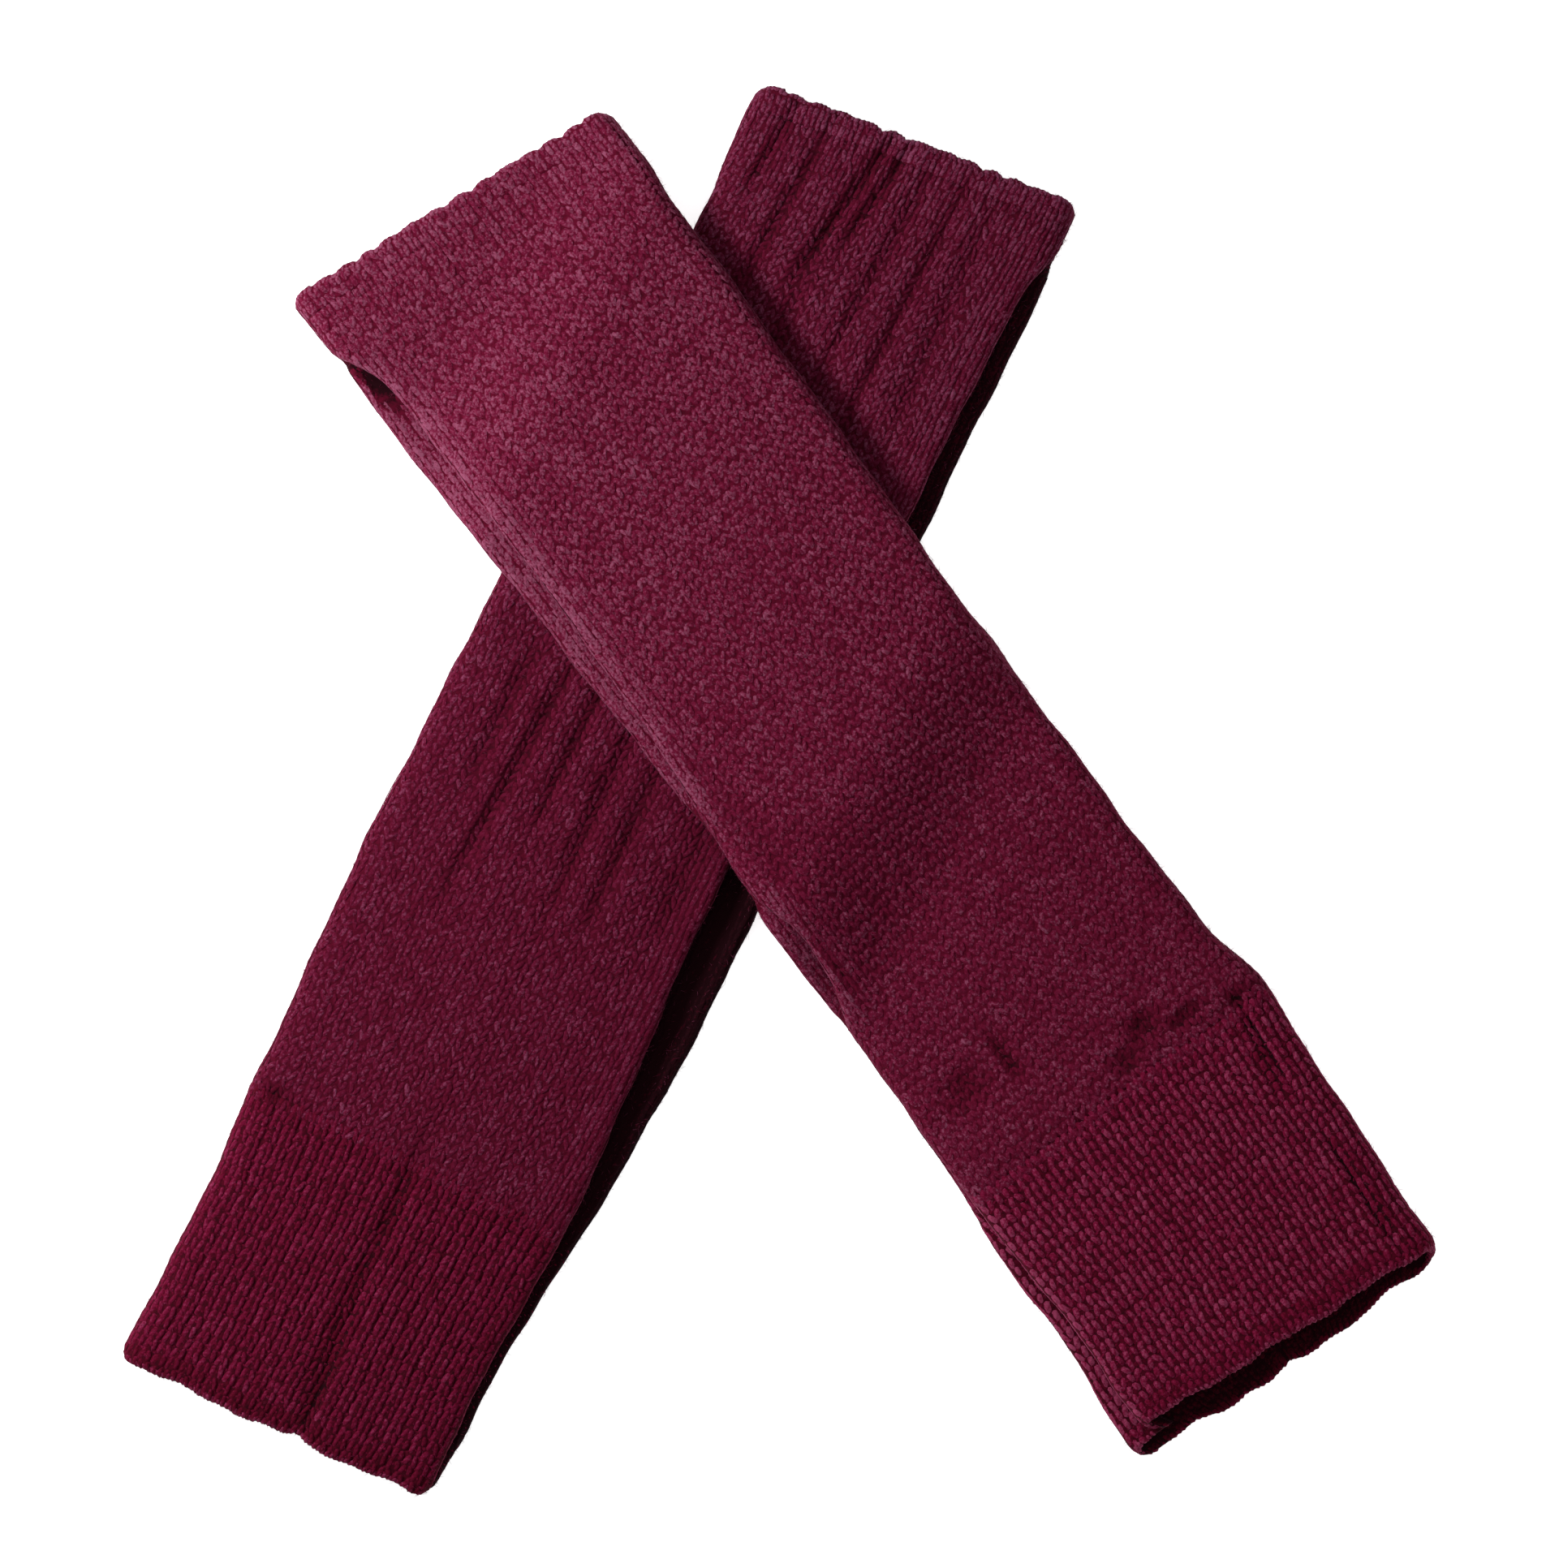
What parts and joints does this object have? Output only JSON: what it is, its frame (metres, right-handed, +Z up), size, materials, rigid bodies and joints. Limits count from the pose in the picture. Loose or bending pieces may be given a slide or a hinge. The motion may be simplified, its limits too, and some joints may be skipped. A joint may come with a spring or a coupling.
{
  "type": "pair of knitted leg warmers",
  "caption": "Two long knitted tubes with ribbed ankle cuffs and scalloped tops, laid flat and crossed one over the other.",
  "frame": {"origin": "middle of the pair's footprint, on the surface that it lies on", "axes": "+Z up off the surface, +Y from the ankle cuffs towards the tops, along the longest side of the footprint"},
  "size_m": [0.3682, 0.394, 0.0194],
  "materials": {
    "tube_knit": "soft matt plain knit in dark wine red acrylic yarn",
    "rib_knit": "matt single rib in dark wine red acrylic yarn",
    "edge_knit": "turned scalloped edge in dark wine red acrylic yarn"
  },
  "bodies": {
    "root": {"over_leg_top_edge": "edge_knit", "over_leg_tube": "tube_knit", "over_leg_cuff": "rib_knit", "under_leg_top_edge": "edge_knit", "under_leg_tube": "tube_knit", "under_leg_cuff": "rib_knit"}
  },
  "joints": []
}
